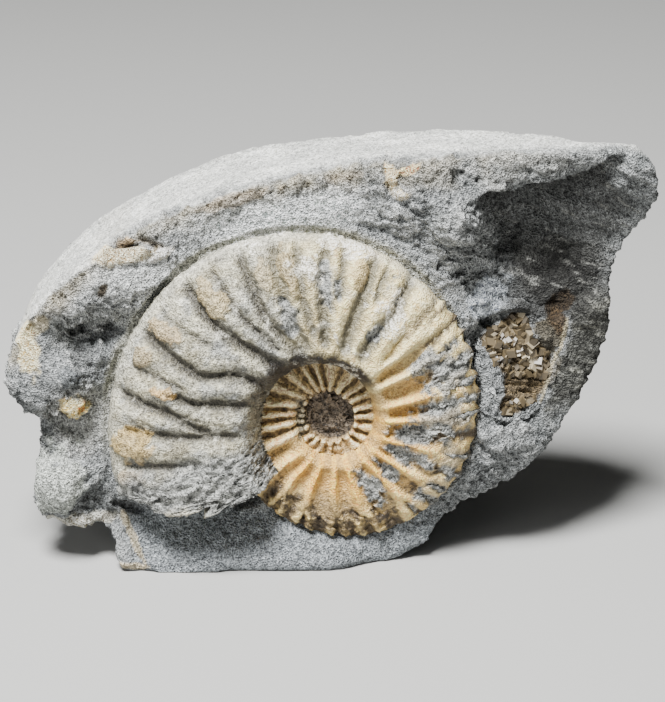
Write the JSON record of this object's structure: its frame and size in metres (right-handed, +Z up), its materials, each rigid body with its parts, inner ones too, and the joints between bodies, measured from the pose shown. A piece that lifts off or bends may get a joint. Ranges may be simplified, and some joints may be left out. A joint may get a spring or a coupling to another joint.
{
  "type": "ammonite fossil",
  "caption": "Coiled, ribbed ammonite seated in a broken grey limestone nodule, with a calcite-lined pocket beside it; stands on its flat foot as a display specimen.",
  "frame": {"origin": "on the flat foot, straight below the centre of the coil", "axes": "+X to the right and +Y to the back, seen from the fossil's side; +Z up"},
  "size_m": [0.1292, 0.0556, 0.085],
  "materials": {
    "limestone": "matte",
    "shell_calcite": "satin",
    "spar_calcite": "satin"
  },
  "bodies": {
    "root": {"matrix": "limestone", "ammonite": "shell_calcite", "calcite_crust": "spar_calcite"}
  },
  "joints": []
}
